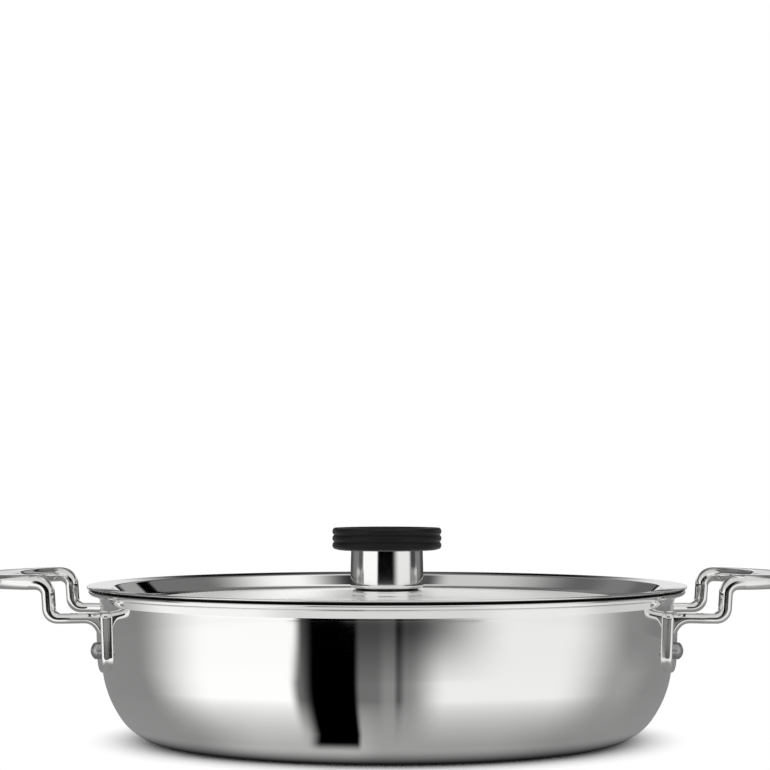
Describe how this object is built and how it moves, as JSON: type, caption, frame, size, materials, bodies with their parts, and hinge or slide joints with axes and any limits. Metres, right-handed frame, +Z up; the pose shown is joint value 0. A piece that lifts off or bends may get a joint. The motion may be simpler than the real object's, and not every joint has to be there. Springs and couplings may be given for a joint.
{
  "type": "braiser",
  "caption": "Wide shallow stainless steel braiser with raised loop handles, a recessed lid and a knob with a black ribbed grip ring.",
  "frame": {"origin": "centre of the pan's underside, on the surface it stands on", "axes": "+Z up along the pan's axis, the two loop handles lie along +X and -X, the picture looks along +Y"},
  "size_m": [0.4164, 0.3, 0.1053],
  "materials": {
    "polished_steel": "mirror polished stainless steel",
    "cast_steel": "polished cast stainless steel",
    "rivet_steel": "dull tumbled stainless steel",
    "lid_steel": "mirror polished pressed stainless steel",
    "knob_steel": "mirror polished turned stainless steel",
    "hardware_steel": "plain stainless fasteners",
    "black_silicone": "matte black silicone"
  },
  "bodies": {
    "pan": {"pan_body": "polished_steel", "left_handle": "cast_steel", "right_handle": "cast_steel", "left_front_rivet": "rivet_steel", "left_back_rivet": "rivet_steel", "right_front_rivet": "rivet_steel", "right_back_rivet": "rivet_steel"},
    "lid": {"lid_shell": "lid_steel", "knob_base": "knob_steel", "knob_post": "knob_steel", "knob_insert": "hardware_steel", "knob_cap": "knob_steel", "knob_grip_ring": "black_silicone", "knob_screw": "hardware_steel", "screw_washer": "hardware_steel"}
  },
  "joints": [
    {"name": "lid_lift", "type": "slide", "parent": "pan", "child": "lid", "axis": [0, 0, 1], "range_m": [0, 0.12]}
  ]
}
